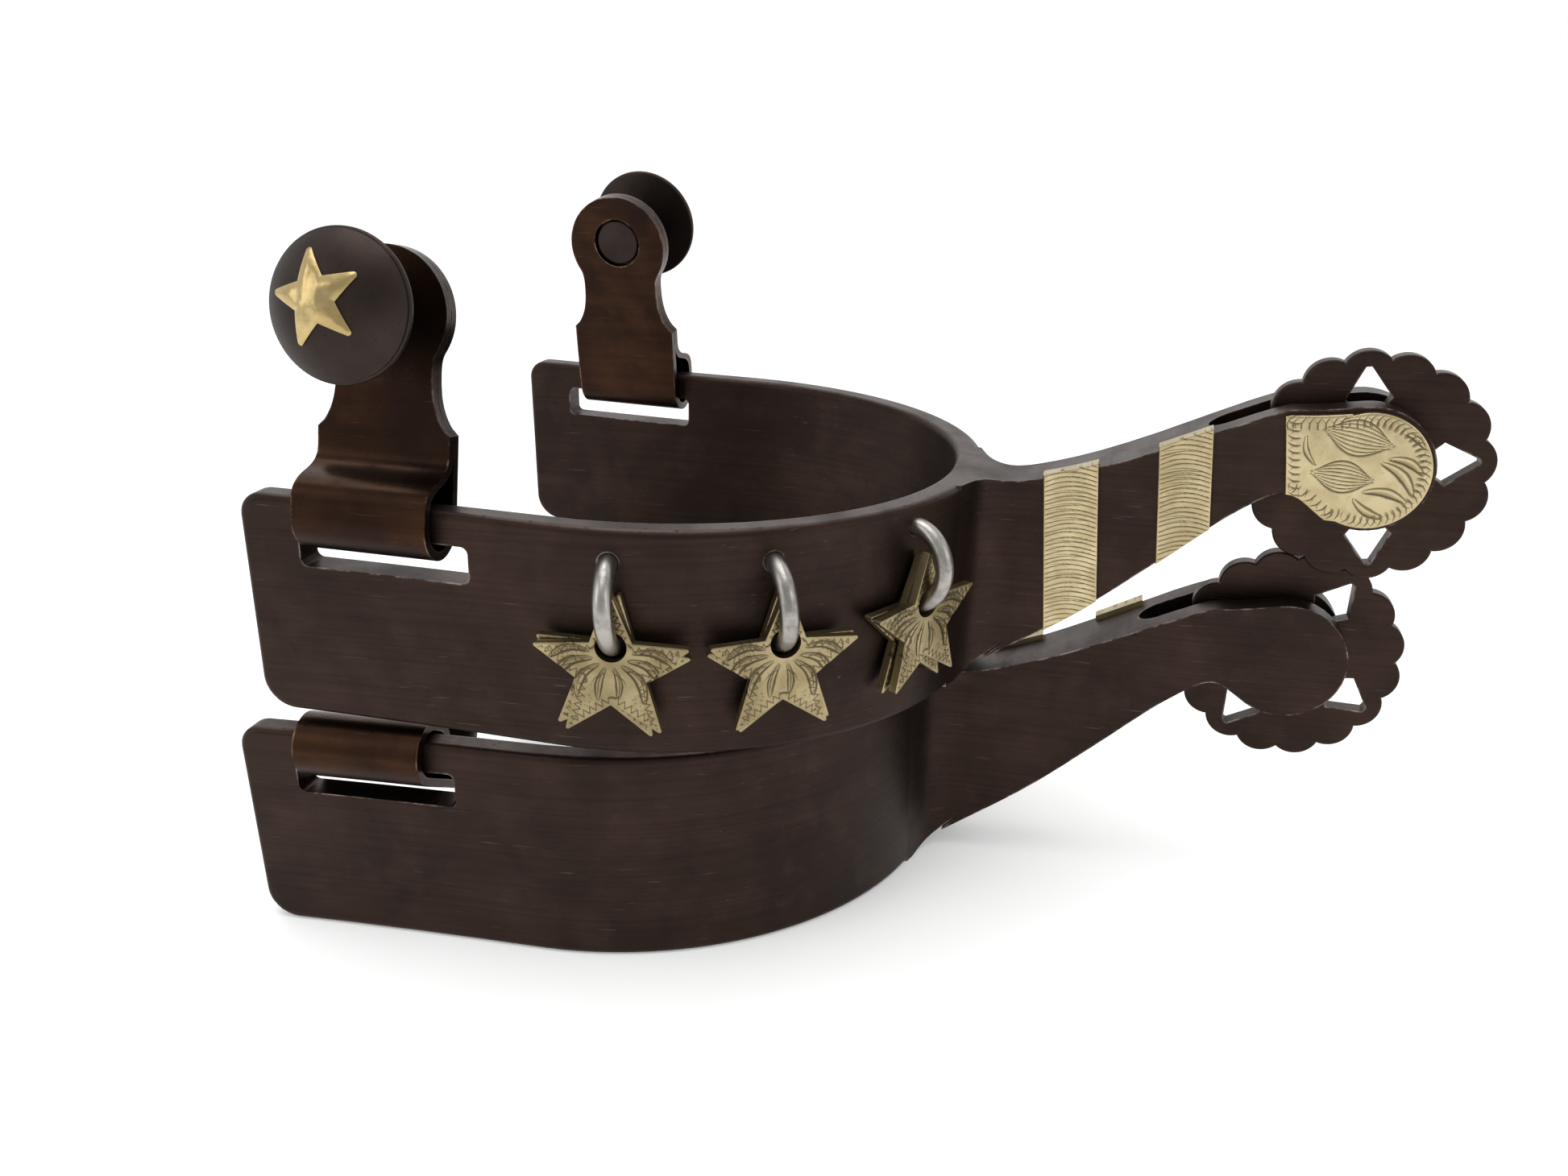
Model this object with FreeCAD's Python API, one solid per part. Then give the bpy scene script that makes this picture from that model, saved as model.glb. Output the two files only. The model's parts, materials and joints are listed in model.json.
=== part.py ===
"""A pair of western show spurs, stacked as stored: the left spur lies on the right one.

Millimetres, +Z up. Each spur is drawn in its own frame first: the origin is on the band's
lower edge, in the middle of the wall at the back of the heel. +X runs out along the shank
and the boot goes in from -X. A spur's decorated outer side faces -Y while it is drawn,
which makes it a left spur. The right spur is its mirror image and carries the origin of
the whole pair.
"""

import FreeCAD, Part
import math
import os

from FreeCAD import Matrix, Placement, Rotation, Vector

# Heel band
BAND_HEIGHT = 30.0
WALL = 4.0
HEEL_DEPTH = 47.2          # outer half-ellipse, heel back to the start of the arms
HEEL_HALF_WIDTH = 44.8     # outer, where the arms start
ARM_LENGTH = 41.7
ARM_BEND_R = 790.0         # the arms curve gently outwards
TIP_TOP_R = 3.0
TIP_BOTTOM_R = 4.5
TIP_LEAN = 0.6
EDGE_R = 0.9

# Hanger slot in each arm
SLOT_LENGTH = 23.2
SLOT_HEIGHT = 4.9
SLOT_LOW = 20.9
SLOT_CORNER_R = 1.0
SLOT_FROM_TIP = 8.2

# Shank and its fork
PIN_X = 51.9
PIN_Z = 36.3
CHEEK_R = 8.2
CHEEK_TOP_DEG = 100.0      # where the cheek's arc meets the shank's top and lower lines
CHEEK_LOW_DEG = -125.0
SHANK_TOP = ((0.5, 30), (5.5, 29.5), (11, 30.4), (18, 32.7), (26, 36.1), (34, 39.9), (41, 43))
SHANK_LOW = ((42.6, 32.2), (38.4, 30.2), (30, 22.9), (20, 13.8), (12, 7.5), (5.5, 3.3), (1.2, 0))
WAIST_X = 8.0
WAIST_HALF = 4.3
FORK_X = 37.0
FORK_HALF = 6.2
FORK_SLOT = 5.2
FORK_SLOT_START = 32.0
SHANK_EDGE_R = 0.9
ROOT_SPREAD = 10.6         # half the width of the root where it runs out on the heel
ROOT_BEND_X = 3.4
ROOT_BEND_OUT = 1.0
BEHIND_WALL = 2.5          # the blank starts inside the band's wall
SHANK_START_X = -1.6

# Rowel and its pin
PIN_R = 2.0
PIN_FIT = 0.02
PIN_STOP = 1.2             # the hole stops this far short of the plain cheek's face
ROWEL_R = 15.5
ROWEL_THICK = 2.4
ROWEL_HOLE_R = 3.6
ROWEL_DROP = (0.8, -1.0)   # the rowel hangs on its pin by the play in its hole
SCALLOPS = 16
SCALLOP_R = 3.55
WINDOWS = 4
WINDOW_OUT = 13.4
WINDOW_TIP = 0.35          # half the width of its blunt outer end
WINDOW_WIDE = 9.2
WINDOW_HALF = 2.85
WINDOW_IN = 5.6
ROWEL_EDGE = 0.35

# Strap hanger: one strip folded round the bar above the slot
STRAP = 1.2
LOOP_R = 3.2               # inside of the fold
LAYER_GAP = 0.15
HANGER_HALF = 9.1
HANGER_SHOULDER = 11.0     # heights are above the middle of the fold
HANGER_BEVEL = 0.9
HANGER_WAIST = 18.3
HANGER_WAIST_HALF = 6.6
HANGER_HEAD = 25.7
HANGER_HEAD_R = 8.4
HEAD_JOIN_DEG = -32.0
BEND_START = 1.6           # the outer layer bends in to the inner one between these
BEND_MIDDLE = 5.0
BEND_END = 8.4
BEND_SWELL = 0.4

# Button on the hanger
BUTTON_R = 9.2
BUTTON_RIM = 0.9
BUTTON_EDGE_R = 0.35
BUTTON_BACK = 8.0          # outwards from the middle of the fold
BUTTON_DOME = 3.8
BUTTON_HEIGHT = 26.3
NECK_R = 3.5
RIVET_HEAD_R = 3.7
RIVET_HOLE_R = 4.0
RIVET_RECESS = 0.35
RIVET_EDGE_R = 0.3
RIVET_R = 2.0
RIVET_DEPTH = 5.0
BUTTON_STAR_R = 6.6
BUTTON_STAR_TIP_R = 0.4
BUTTON_STAR_LIFT = 0.6
BUTTON_STAR_TURN = 14.0
BUTTON_STAR_SHIFT = (-1.1, 0.7)      # soldered on a little off the middle

# Star staples and the stars that hang on them
WIRE_R = 1.2
WIRE_FIT = 0.1
STAPLE_SPAN = 10.5
# For each staple: place round the heel ellipse from +X, lower leg's height, lean of that leg
# towards the heel
STAPLES = {1: (79.7, 15.3, 4.5), 2: (54.8, 15.3, 4.0), 3: (28.2, 16.6, -2.0)}
STAR_R = 10.5
STAR_WAIST = 0.43
STAR_TIP_R = 0.25
STAR_THICK = 1.2
STAR_HOLE_R = 2.0
STAR_HOLE_UP = 3.1         # above the star's centre
STAR_STANDOFF = (0.45, 1.95)         # back star, front star: gap to the band
STAR_RISE = (0.12, 0.75)             # the wire climbs as it leaves the band
STAR_TURN = {1: (-6.0, 1.0), 2: (3.5, -1.0), 3: (-3.0, 2.0)}

# Silver overlays on the shank
OVERLAY = 0.8
FLAP_DEPTH = 1.5
STRIP_X = {"front": (11.0, 18.4), "rear": (26.3, 33.1)}
STRIP_LEAN = 5.2
CAP_X = 40.9
CAP_Z = 43.0
CAP_LEAN = 8.0
CAP_CROWN = 1.1
CAP_RIM = 0.25             # thickness left at the edge
CAP_INSET = 0.6            # from the cheek's outline and the shank's top line
CAP_BALL_R = 90.0
CAP_BALL_BACK = 1.5        # the crown's top lies a little behind the pin
CAP_TAIL = 3.0
CAP_TAIL_RISE = 1.2

# How the two spurs lie together
HANGER_LEAN = {"left": (10.0, 9.0), "right": (119.0, 119.0)}   # outer, inner; inwards
HANGER_DROP = {"left": (0.4, 0.0),  "right": (0.4, 0.4)}        # each fold has play on its bar
HANGER_SLIDE = {"left": (-1.9, 0.9), "right": (0.5, -1.4)}      # along the slot, to the heel
ROWEL_TURN = {"left": 8.8, "right": 56.5}
STACK_SHIFT = (5.4, -2.0, 30.65)
STACK_YAW = -1.15
STACK_TIP = 2.1
RIGHT_STAR_TURN = 2.0

HEEL_X = WALL / 2                    # outer back of the heel
HEEL_CENTRE = HEEL_X - HEEL_DEPTH
TIP_X = HEEL_CENTRE - ARM_LENGTH
BAR_X = TIP_X + SLOT_FROM_TIP + SLOT_LENGTH / 2
BAR_Z = (SLOT_LOW + SLOT_HEIGHT + BAND_HEIGHT) / 2
ARM_CENTRE_Y = HEEL_HALF_WIDTH + ARM_BEND_R
ARM_ANGLE = math.degrees(math.asin((HEEL_CENTRE - BAR_X) / ARM_BEND_R))
BAR_Y = ARM_CENTRE_Y - (ARM_BEND_R + WALL / 2) * math.cos(math.radians(ARM_ANGLE))
FAR = 200.0


def point(x, y, z=0.0):
    return Vector(x, y, z)


def on_circle(cx, cy, radius, degrees):
    turn = math.radians(degrees)
    return point(cx + radius * math.cos(turn), cy + radius * math.sin(turn))


def line(a, b):
    return Part.LineSegment(a, b).toShape()


def arc(a, b, c):
    return Part.Arc(a, b, c).toShape()


def curve(points, start=None, end=None):
    """A smooth curve through the points, with set directions at its ends if given."""
    spline = Part.BSplineCurve()
    if start is None:
        spline.interpolate(points)
    else:
        spline.interpolate(points, InitialTangent=start, FinalTangent=end)
    return spline.toShape()


def slab(edges, height, base=0.0):
    """A flat outline drawn in XY, as a plate that stands up from base."""
    face = Part.Face(Part.Wire(Part.__sortEdges__(edges)))
    plate = face.extrude(point(0, 0, height))
    plate.translate(point(0, 0, base))
    return plate


def stand_up(shape):
    """Turn a plate drawn in XY so that its Y becomes Z and its thickness faces -Y."""
    turned = shape.copy()
    turned.rotate(point(0, 0), point(1, 0, 0), 90)
    return turned


def rod(radius, start, end):
    axis = end - start
    return Part.makeCylinder(radius, axis.Length, start, axis)


def try_fillet(shape, radius, edges):
    """Round the edges, or leave them sharp where the kernel can't."""
    try:
        rounded = shape.makeFillet(radius, edges)
    except Part.OCCError:
        return shape
    if rounded.isValid() and rounded.Volume > 0.9 * shape.Volume:
        return rounded
    return shape


# ---- heel band and shank, one forging ------------------------------------------------

def band_outline(offset):
    """Half-ellipse heel and two flared arms; offset is measured inwards."""
    depth = HEEL_DEPTH - offset
    half = HEEL_HALF_WIDTH - offset
    ellipse = Part.Ellipse(point(HEEL_CENTRE, 0), depth, half)
    heel = Part.ArcOfEllipse(ellipse, -math.pi / 2, math.pi / 2).toShape()
    edges = [heel]
    ends = []
    radius = ARM_BEND_R + offset
    reach = ARM_LENGTH + 2 * SLOT_FROM_TIP
    for side in (-1, 1):
        drop = radius - math.sqrt(radius ** 2 - reach ** 2)
        half_drop = radius - math.sqrt(radius ** 2 - reach ** 2 / 4)
        start = point(HEEL_CENTRE, side * half)
        middle = point(HEEL_CENTRE - reach / 2, side * (half + half_drop))
        end = point(HEEL_CENTRE - reach, side * (half + drop))
        edges.append(arc(start, middle, end))
        ends.append(end)
    return edges, ends


def side_profile():
    """The band seen from the side: rounded, slightly leaning tip ends."""
    low = TIP_X + TIP_LEAN
    top = TIP_X
    lean = math.degrees(math.atan2(TIP_LEAN, BAND_HEIGHT))
    high_mid = on_circle(top + TIP_TOP_R, BAND_HEIGHT - TIP_TOP_R, TIP_TOP_R, 135)
    low_mid = on_circle(low + TIP_BOTTOM_R, TIP_BOTTOM_R, TIP_BOTTOM_R, 225)
    high_a = on_circle(top + TIP_TOP_R, BAND_HEIGHT - TIP_TOP_R, TIP_TOP_R, 180 + lean)
    high_b = point(top + TIP_TOP_R, BAND_HEIGHT)
    low_a = on_circle(low + TIP_BOTTOM_R, TIP_BOTTOM_R, TIP_BOTTOM_R, 180 + lean)
    low_b = point(low + TIP_BOTTOM_R, 0)
    edges = [
        arc(low_b, low_mid, low_a),
        line(low_a, high_a),
        arc(high_a, high_mid, high_b),
        line(high_b, point(HEEL_X + 1, BAND_HEIGHT)),
        line(point(HEEL_X + 1, BAND_HEIGHT), point(HEEL_X + 1, 0)),
        line(point(HEEL_X + 1, 0), low_b),
    ]
    plate = stand_up(slab(edges, FAR))
    plate.translate(point(0, FAR / 2, 0))
    return plate


def heel_band():
    outer, outer_ends = band_outline(0)
    inner, inner_ends = band_outline(WALL)
    caps = [line(a, b) for a, b in zip(outer_ends, inner_ends)]
    band = slab(outer + inner + caps, BAND_HEIGHT)
    band = band.common(side_profile())
    long_edges = [e for e in band.Edges if e.Length > 2 * EDGE_R]
    band = try_fillet(band, EDGE_R, [e for e in long_edges if not_upright(e)])
    return band


def not_upright(edge):
    box = edge.BoundBox
    return box.XLength > 0.5 or box.YLength > WALL + 1


def shank_profile():
    """Side view of the shank: a taper from the heel to a notch and a round cheek."""
    top_join = on_circle(PIN_X, PIN_Z, CHEEK_R, CHEEK_TOP_DEG)
    low_join = on_circle(PIN_X, PIN_Z, CHEEK_R, CHEEK_LOW_DEG)
    nose = on_circle(PIN_X, PIN_Z, CHEEK_R, (CHEEK_TOP_DEG + CHEEK_LOW_DEG) / 2)
    top = [point(x, z) for x, z in SHANK_TOP] + [top_join]
    low = [low_join] + [point(x, z) for x, z in SHANK_LOW]
    rise = math.radians(CHEEK_TOP_DEG)
    fall = math.radians(CHEEK_LOW_DEG)
    top_end = point(math.sin(rise), -math.cos(rise)) * 4
    low_start = point(math.sin(fall), -math.cos(fall)) * 4
    inside = point(SHANK_START_X, 0)
    return [
        curve(top, point(5, 0), top_end),
        arc(top_join, nose, low_join),
        curve(low, low_start, point(-4, -3.4)),
        line(low[-1], inside),
        line(inside, point(SHANK_START_X, BAND_HEIGHT)),
        line(point(SHANK_START_X, BAND_HEIGHT), top[0]),
    ]


def shank_side(x, extra):
    """Half the shank's width at x."""
    along = min(max((x - WAIST_X) / (FORK_X - WAIST_X), 0), 1)
    return WAIST_HALF + extra + along * (FORK_HALF - WAIST_HALF)


def shank_plan(extra):
    """Top view of the shank, with fillets that run out onto the heel."""
    nose = PIN_X + CHEEK_R + 2
    edges = [line(point(nose, -FORK_HALF - extra), point(nose, FORK_HALF + extra))]
    spread = ROOT_SPREAD
    back = heel_surface_x(spread)
    hidden = HEEL_X - WALL - BEHIND_WALL
    for side in (-1, 1):
        waist = point(WAIST_X, side * shank_side(WAIST_X, extra))
        fork = point(FORK_X, side * shank_side(FORK_X, extra))
        fork_end = point(nose, side * (FORK_HALF + extra))
        foot = point(back, side * spread)
        middle = point(ROOT_BEND_X, side * (WAIST_HALF + extra + ROOT_BEND_OUT))
        edges.append(line(waist, fork))
        edges.append(line(fork, fork_end))
        edges.append(curve([foot, middle, waist], point(3.2, -side * 8), point(5, side * 0.3)))
        edges.append(line(foot, point(hidden, side * spread)))
    edges.append(line(point(hidden, -spread), point(hidden, spread)))
    return edges


def heel_surface_x(y):
    """Where the outer face of the heel is, at a distance y from the middle."""
    return HEEL_CENTRE + HEEL_DEPTH * math.sqrt(1 - (y / HEEL_HALF_WIDTH) ** 2)


def shank_blank(extra=0.0, lift=0.0):
    """The solid shank, before its fork is cut; extra widens it and lift raises it."""
    side = stand_up(slab(shank_profile(), FAR))
    side.translate(point(0, FAR / 2, lift))
    plan = slab(shank_plan(extra), FAR, -FAR / 4)
    return side.common(plan)


def upright_plate(x_low, x_high, z_low, z_high, corner):
    """A rounded rectangular punch along Y."""
    x0, x1, z0, z1, r = x_low, x_high, z_low, z_high, corner
    corners = [(x1 - r, z1 - r, 45), (x0 + r, z1 - r, 135), (x0 + r, z0 + r, 225), (x1 - r, z0 + r, 315)]
    edges = []
    starts = []
    for cx, cz, middle in corners:
        begin, mid, end = (on_circle(cx, cz, r, middle + step) for step in (-45, 0, 45))
        edges.append(arc(begin, mid, end))
        starts.append((begin, end))
    for k, (_, end) in enumerate(starts):
        edges.append(line(end, starts[(k + 1) % 4][0]))
    plate = stand_up(slab(edges, FAR))
    plate.translate(point(0, FAR / 2, 0))
    return plate


def slot_punch(side):
    punch = upright_plate(-SLOT_LENGTH / 2, SLOT_LENGTH / 2, SLOT_LOW, SLOT_LOW + SLOT_HEIGHT, SLOT_CORNER_R)
    punch = punch.common(Part.makeBox(2 * SLOT_LENGTH, 6 * WALL, FAR, point(-SLOT_LENGTH, -3 * WALL, 0)))
    punch.Placement = bar_place(side).multiply(Placement(point(0, 0, -BAR_Z), Rotation()))
    return punch


def fork_cut():
    """The rowel's slot, open at the nose and rounded at its root."""
    half = FORK_SLOT / 2
    root = FORK_SLOT_START
    edges = [
        arc(point(root + half, -half), point(root, 0), point(root + half, half)),
        line(point(root + half, half), point(PIN_X + 2 * CHEEK_R, half)),
        line(point(PIN_X + 2 * CHEEK_R, half), point(PIN_X + 2 * CHEEK_R, -half)),
        line(point(PIN_X + 2 * CHEEK_R, -half), point(root + half, -half)),
    ]
    return slab(edges, FAR, -FAR / 4)


def spur_body():
    """Band, shank and fork as one solid, with slots and holes."""
    shank = shank_blank()
    edges = [e for e in shank.Edges if e.BoundBox.XMin > 1.0 and e.BoundBox.XLength > 1.5]
    shank = try_fillet(shank, SHANK_EDGE_R, edges)
    body = heel_band().fuse(shank).removeSplitter()
    cuts = [slot_punch(-1), slot_punch(1), fork_cut()]
    cuts.append(rod(PIN_R, point(PIN_X, -FAR / 2, PIN_Z), point(PIN_X, FORK_HALF - PIN_STOP, PIN_Z)))
    for number in STAPLES:
        place = staple_place(number)
        for leg in (-STAPLE_SPAN / 2, STAPLE_SPAN / 2):
            inside, outside = point(0, 2 * WALL, leg), point(0, -WALL, leg)
            cuts.append(rod(WIRE_R + WIRE_FIT, place.multVec(inside), place.multVec(outside)))
    return body.cut(cuts).removeSplitter()


# ---- rowel ---------------------------------------------------------------------------

def rowel(turn):
    """Scalloped wheel with kite-shaped windows, loose on its pin."""
    centre_r = ROWEL_R - SCALLOP_R
    disc = Part.makeCylinder(centre_r + 1.0, ROWEL_THICK)
    lobes = []
    for k in range(SCALLOPS):
        centre = on_circle(0, 0, centre_r, k * 360 / SCALLOPS)
        lobes.append(Part.makeCylinder(SCALLOP_R, ROWEL_THICK, centre))
    wheel = disc.fuse(lobes).removeSplitter()
    rim = [e for e in wheel.Edges if e.BoundBox.ZLength < 0.01]
    wheel = try_fillet(wheel, ROWEL_EDGE, rim)
    cuts = [Part.makeCylinder(ROWEL_HOLE_R, 3 * ROWEL_THICK, point(0, 0, -ROWEL_THICK))]
    for k in range(WINDOWS):
        corners = [point(WINDOW_IN, 0), point(WINDOW_WIDE, WINDOW_HALF), point(WINDOW_OUT, WINDOW_TIP),
                   point(WINDOW_OUT, -WINDOW_TIP), point(WINDOW_WIDE, -WINDOW_HALF)]
        edges = [line(corners[i], corners[(i + 1) % 5]) for i in range(5)]
        window = slab(edges, 3 * ROWEL_THICK, -ROWEL_THICK)
        window.rotate(point(0, 0), point(0, 0, 1), k * 360 / WINDOWS)
        cuts.append(window)
    wheel = wheel.cut(cuts)
    wheel.rotate(point(0, 0), point(0, 0, 1), turn)
    wheel = stand_up(wheel)
    wheel.translate(point(PIN_X + ROWEL_DROP[0], ROWEL_THICK / 2, PIN_Z + ROWEL_DROP[1]))
    return wheel


def rowel_pin():
    """Pin pressed in from the decorated side into a blind hole."""
    start = point(PIN_X, -FORK_HALF, PIN_Z)
    return rod(PIN_R - PIN_FIT, start, point(PIN_X, FORK_HALF - PIN_STOP, PIN_Z))


# ---- hanger, button and rivet --------------------------------------------------------

def bar_place(side):
    """Frame of the bar above a slot: X along the arm, -Y out of the band, +Z up."""
    turn = 90 + side * (90 - ARM_ANGLE)
    return Placement(point(BAR_X, side * BAR_Y, BAR_Z), Rotation(point(0, 0, 1), turn))


def fold_place(name, k, side):
    """Frame at the middle of a hanger's fold, set off from its bar by the play."""
    slide = -side * HANGER_SLIDE[name][k]
    return bar_place(side).multiply(Placement(point(slide, 0, -HANGER_DROP[name][k]), Rotation()))


def strap_section():
    """Edge view of the folded strap, in a plane of (outwards, up)."""
    r_in, r_out = LOOP_R, LOOP_R + STRAP
    top = HANGER_HEAD + HANGER_HEAD_R + 1
    layer_in = -LOOP_R + LAYER_GAP
    layer_out = layer_in + STRAP
    upward = point(0, 3)
    swell = BEND_SWELL
    inner_face = [point(r_in, BEND_START), point((r_in + layer_in) / 2, BEND_MIDDLE), point(layer_in, BEND_END)]
    outer_face = [point(r_out, BEND_START + swell), point((r_out + layer_out) / 2 + swell, BEND_MIDDLE + swell),
                  point(layer_out, BEND_END + swell)]
    return [
        line(point(-r_out, top), point(-r_out, 0)),
        arc(point(-r_out, 0), point(0, -r_out), point(r_out, 0)),
        line(point(r_out, 0), outer_face[0]),
        curve(outer_face, upward, upward),
        line(outer_face[-1], point(layer_out, top)),
        line(point(layer_out, top), point(layer_in, top)),
        line(point(layer_in, top), inner_face[-1]),
        curve(inner_face[::-1], upward * -1, upward * -1),
        line(inner_face[0], point(r_in, 0)),
        arc(point(r_in, 0), point(0, -r_in), point(-r_in, 0)),
        line(point(-r_in, 0), point(-r_in, top)),
        line(point(-r_in, top), point(-r_out, top)),
    ]


def hanger_outline():
    """Front view of the hanger: wide at the fold, waisted, with a round head."""
    half = HANGER_HALF
    low = -LOOP_R - STRAP - 1
    waist = point(HANGER_WAIST_HALF, HANGER_WAIST)
    join = on_circle(0, HANGER_HEAD, HANGER_HEAD_R, HEAD_JOIN_DEG)
    bevel = point(half - HANGER_BEVEL, HANGER_SHOULDER + HANGER_BEVEL)
    edges = [line(point(-half, low), point(half, low))]
    tilt = math.radians(90 + HEAD_JOIN_DEG)
    leave = point(math.cos(tilt), math.sin(tilt)) * 4
    for side in (-1, 1):
        flip = Matrix(side, 0, 0, 0, 0, 1, 0, 0, 0, 0, 1, 0, 0, 0, 0, 1)
        half_edges = [
            line(point(half, low), point(half, HANGER_SHOULDER)),
            line(point(half, HANGER_SHOULDER), bevel),
            curve([bevel, waist, join], point(-2.2, 3.2), leave),
            arc(join, on_circle(0, HANGER_HEAD, HANGER_HEAD_R, 30), point(0, HANGER_HEAD + HANGER_HEAD_R)),
        ]
        edges += [e.transformGeometry(flip) for e in half_edges]
    plate = stand_up(slab(edges, 40))
    plate.translate(point(0, 20, 0))
    return plate


def hanger():
    """Strap hanger, upright, with the middle of its fold at the origin."""
    strap = slab(strap_section(), 2 * HANGER_HALF + 2)
    strap.translate(point(0, 0, -HANGER_HALF - 1))
    # Section X becomes -Y (outwards), section Y becomes Z, thickness runs along X.
    strap = strap.transformGeometry(Matrix(0, 0, 1, 0, -1, 0, 0, 0, 0, 1, 0, 0, 0, 0, 0, 1))
    body = strap.common(hanger_outline())
    outside = LOOP_R + STRAP
    inner_hole = rod(RIVET_HOLE_R, point(0, outside + 1, BUTTON_HEIGHT), point(0, LOOP_R - 0.05, BUTTON_HEIGHT))
    stem_hole = rod(RIVET_R, point(0, outside, BUTTON_HEIGHT), point(0, 0, BUTTON_HEIGHT))
    return body.cut([inner_hole, stem_hole])


def dome_radius():
    return (BUTTON_R ** 2 + BUTTON_DOME ** 2) / (2 * BUTTON_DOME)


def dome(lift=0.0):
    """Ball whose cap is the button's face; its middle lies behind the rim."""
    radius = dome_radius()
    base = BUTTON_BACK + BUTTON_RIM
    centre = point(0, -(base + BUTTON_DOME - radius), BUTTON_HEIGHT)
    return Part.makeSphere(radius + lift, centre)


def button():
    """Domed head and neck, drilled for the rivet."""
    face = -(BUTTON_BACK + BUTTON_RIM)
    rim = rod(BUTTON_R, point(0, -BUTTON_BACK, BUTTON_HEIGHT), point(0, face, BUTTON_HEIGHT))
    rim_edges = [e for e in rim.Edges if e.BoundBox.YLength < 0.01]
    rim = try_fillet(rim, BUTTON_EDGE_R, rim_edges)
    cap_zone = rod(BUTTON_R - 0.3, point(0, face + 0.3, BUTTON_HEIGHT), point(0, face - 9, BUTTON_HEIGHT))
    cap = dome().common(cap_zone)
    layer = LOOP_R - LAYER_GAP - STRAP
    neck = rod(NECK_R, point(0, layer, BUTTON_HEIGHT), point(0, face + 0.1, BUTTON_HEIGHT))
    drilled = rod(RIVET_R, point(0, layer + 1, BUTTON_HEIGHT), point(0, layer - RIVET_DEPTH, BUTTON_HEIGHT))
    return rim.fuse([cap, neck]).cut(drilled).removeSplitter()


def rivet():
    """Flat-headed rivet that holds the button through both layers."""
    seat = LOOP_R - LAYER_GAP
    back = LOOP_R + STRAP - RIVET_RECESS
    head = rod(RIVET_HEAD_R, point(0, back, BUTTON_HEIGHT), point(0, seat, BUTTON_HEIGHT))
    head = try_fillet(head, RIVET_EDGE_R, [e for e in head.Edges if e.BoundBox.YMin > back - 0.1])
    stem_end = LOOP_R - LAYER_GAP - STRAP - RIVET_DEPTH + 0.3
    stem = rod(RIVET_R - PIN_FIT, point(0, seat + 0.2, BUTTON_HEIGHT), point(0, stem_end, BUTTON_HEIGHT))
    return head.fuse(stem).removeSplitter()


def star_edges(radius, tip_r):
    """Five-pointed star with one tip up and slightly rounded tips."""
    outline = []
    for k in range(5):
        tip_angle = 90 + 72 * k
        tip = on_circle(0, 0, radius, tip_angle)
        before = on_circle(0, 0, radius * STAR_WAIST, tip_angle - 36)
        after = on_circle(0, 0, radius * STAR_WAIST, tip_angle + 36)
        side = (tip - before).normalize()
        half = side.getAngle(after - tip) / 2
        back = tip_r * math.tan(half)
        enter = tip - side * back
        leave = tip + (after - tip).normalize() * back
        crown = on_circle(0, 0, radius - back / math.sin(half) * (1 - math.cos(half)), tip_angle)
        outline.append(line(before, enter))
        outline.append(arc(enter, crown, leave))
        outline.append(line(leave, after))
    return outline


def button_star():
    """Thin star soldered onto the dome."""
    plate = slab(star_edges(BUTTON_STAR_R, BUTTON_STAR_TIP_R), FAR / 4)
    plate.rotate(point(0, 0), point(0, 0, 1), BUTTON_STAR_TURN)
    plate = stand_up(plate)
    aside, up = BUTTON_STAR_SHIFT
    plate.translate(point(aside, 0, BUTTON_HEIGHT + up))
    return plate.common(dome(BUTTON_STAR_LIFT)).cut(dome())


# ---- star staples and hanging stars --------------------------------------------------

def heel_frame(spot):
    """Frame on the heel's outer face: X along the band, -Y out of it, +Z up."""
    turn = math.radians(spot)
    base = point(HEEL_CENTRE + HEEL_DEPTH * math.cos(turn), -HEEL_HALF_WIDTH * math.sin(turn))
    out = math.degrees(math.atan2(-math.sin(turn) / HEEL_HALF_WIDTH, math.cos(turn) / HEEL_DEPTH))
    return Placement(base, Rotation(point(0, 0, 1), out + 90))


def staple_place(number):
    """Frame at a staple's middle, leaning in the wall's plane."""
    spot, low, lean = STAPLES[number]
    middle = Placement(point(0, 0, low + STAPLE_SPAN / 2), Rotation(point(0, 1, 0), -lean))
    return heel_frame(spot).multiply(middle)


def hang_place(number):
    """Upright frame where a staple's lower leg leaves the band."""
    spot, low, lean = STAPLES[number]
    aside = STAPLE_SPAN / 2 * math.sin(math.radians(lean))
    return heel_frame(spot).multiply(Placement(point(aside, 0, low), Rotation()))


def staple():
    """Half ring of wire with two straight legs that end flush inside the band."""
    radius = STAPLE_SPAN / 2
    low, high = point(0, 0, -radius), point(0, 0, radius)
    inside = point(0, WALL - 0.05, 0)
    spine = Part.Wire([
        line(high + inside, high),
        arc(high, point(0, -radius, 0), low),
        line(low, low + inside),
    ])
    section = Part.Wire([Part.Circle(high + inside, point(0, 1, 0), WIRE_R).toShape()])
    return spine.makePipeShell([section], True, False)


def hanging_star(layer, turn):
    """Flat star with a hole; layer 0 lies at the back, layer 1 at the front."""
    plate = slab(star_edges(STAR_R, STAR_TIP_R), STAR_THICK)
    hole = Part.makeCylinder(STAR_HOLE_R, 3 * STAR_THICK, point(0, STAR_HOLE_UP, -STAR_THICK))
    plate = plate.cut(hole)
    plate.translate(point(0, -STAR_HOLE_UP, 0))
    plate.rotate(point(0, 0), point(0, 0, 1), turn)
    plate = stand_up(plate)
    plate.translate(point(0, -STAR_STANDOFF[layer], STAR_RISE[layer]))
    return plate


# ---- silver overlays -----------------------------------------------------------------

def leaning_zone(x_low, x_high, z_pivot, lean):
    """The space between two planes that lean back from the shank."""
    box = Part.makeBox(x_high - x_low, FAR, FAR, point(x_low, -FAR, z_pivot - FAR / 2))
    box.rotate(point(x_low, 0, z_pivot), point(0, 1, 0), -lean)
    return box


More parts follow.
